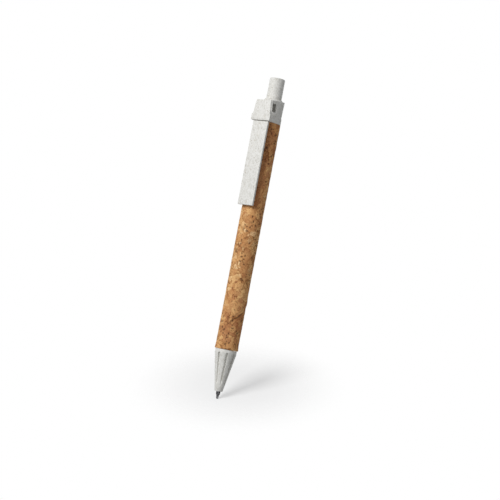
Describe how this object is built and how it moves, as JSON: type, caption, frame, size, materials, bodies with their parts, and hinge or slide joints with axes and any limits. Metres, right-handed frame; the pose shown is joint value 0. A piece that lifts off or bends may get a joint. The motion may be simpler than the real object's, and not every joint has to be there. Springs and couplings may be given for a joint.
{
  "type": "retractable ballpoint pen",
  "caption": "Click ballpoint pen: cork-covered paper barrel, ribbed nose cone, moulded head with a flat clip held in side windows, and a round push button.",
  "frame": {"origin": "lowest point of the writing ball, on the pen's axis, with the tip latched out", "axes": "+Z along the pen from the writing tip to the push button; the clip faces -Y; +X and -X are the sides with the clip's snap windows"},
  "size_m": [0.0114, 0.0125, 0.14],
  "materials": {
    "straw_plastic": "matt, finely speckled",
    "cork": "natural ground cork",
    "backing": "woven backing of the cork sheet",
    "paper": "spiral-wound kraft paper",
    "moulded_plastic": "plain moulded",
    "refill_plastic": "clear to milky tube",
    "holder_plastic": "white moulded",
    "point_metal": "turned, plated",
    "ball_metal": "polished",
    "spring_steel": "drawn wire",
    "ink": "thick paste",
    "grease": "clear gel"
  },
  "bodies": {
    "barrel": {"cork_wrap": "cork", "cork_backing": "backing", "tube_outer_ply": "paper", "tube_middle_ply": "paper", "tube_inner_ply": "paper", "front_insert": "moulded_plastic", "clip_head": "straw_plastic", "cam_sleeve": "moulded_plastic", "return_spring": "spring_steel"},
    "button": {"push_button": "straw_plastic", "plunger_crown": "moulded_plastic"},
    "refill": {"refill_tube": "refill_plastic", "tip_holder": "holder_plastic", "refill_tip": "point_metal", "ink_column": "ink", "follower_grease": "grease"},
    "rotor": {"cam_rotor": "moulded_plastic"},
    "ball": {"writing_ball": "ball_metal"},
    "clip": {"clip_strip": "straw_plastic"},
    "nose": {"nose_cone": "straw_plastic"}
  },
  "joints": [
    {"name": "button_press", "type": "slide", "parent": "barrel", "child": "button", "axis": [0, 0, 1], "range_m": [-0.0012, 0.0048], "stiffness_N_per_m": 250},
    {"name": "refill_slide", "type": "slide", "parent": "barrel", "child": "refill", "axis": [0, 0, 1], "range_m": [-0.0012, 0.0048], "deforming": ["return_spring"]},
    {"name": "rotor_turn", "type": "hinge", "parent": "refill", "child": "rotor", "pos_m": [0, 0, 0.0961], "axis": [0, 0, 1], "continuous": true},
    {"name": "ball_roll", "type": "hinge", "parent": "refill", "child": "ball", "pos_m": [0, 0, 0.00035], "axis": [1, 0, 0], "continuous": true},
    {"name": "clip_flex", "type": "hinge", "parent": "barrel", "child": "clip", "pos_m": [0, -0.0058, 0.1209], "axis": [-1, 0, 0], "range_deg": [0, 4], "stiffness_Nm_per_rad": 3},
    {"name": "nose_pull", "type": "slide", "parent": "barrel", "child": "nose", "axis": [0, 0, -1], "range_m": [0, 0.009]}
  ],
  "couplings": [
    {"joint": "refill_slide", "follows": "button_press", "ratio": 1}
  ]
}
